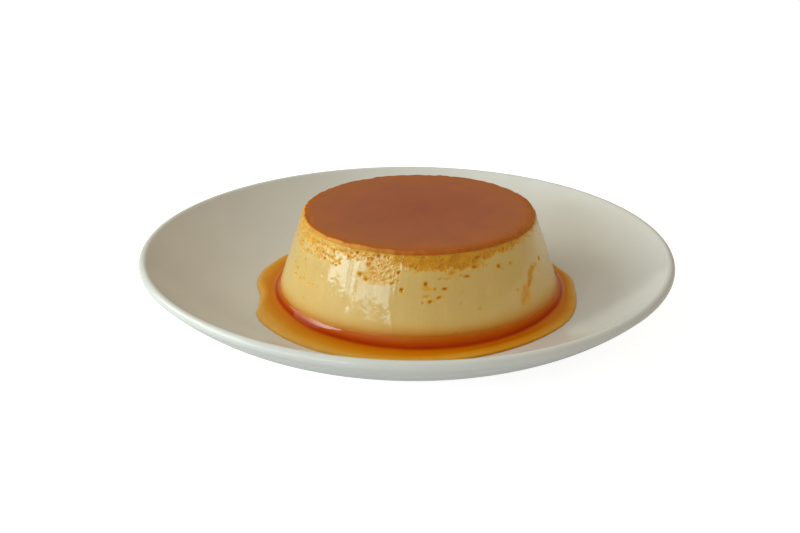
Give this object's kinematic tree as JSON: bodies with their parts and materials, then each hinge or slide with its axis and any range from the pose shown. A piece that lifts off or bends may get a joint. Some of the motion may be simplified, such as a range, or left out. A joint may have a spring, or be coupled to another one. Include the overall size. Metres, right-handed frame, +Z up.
{
  "type": "caramel pudding",
  "caption": "Baked custard pudding with a caramel top and a pool of caramel sauce, turned out on a small round white coupe plate.",
  "frame": {"origin": "middle of the plate's outline, on the surface that the plate stands on", "axes": "+Z up; +X to the right and -Y towards the viewer of the picture; the pudding stands a little off the plate's middle, towards +X"},
  "size_m": [0.1816, 0.1814, 0.0371],
  "materials": {
    "white_glaze": "smooth white glaze with a soft gloss",
    "baked_custard": "moist set egg custard, pale yellow, with burst bubbles stained by caramel",
    "caramel_top": "soft reddish brown caramel layer with an amber edge, satin to glossy",
    "caramel_syrup": "thin clear amber syrup, wet gloss, darker where deeper"
  },
  "bodies": {
    "root": {"plate": "white_glaze", "custard": "baked_custard", "caramel_layer": "caramel_top", "caramel_sauce": "caramel_syrup"}
  },
  "joints": []
}
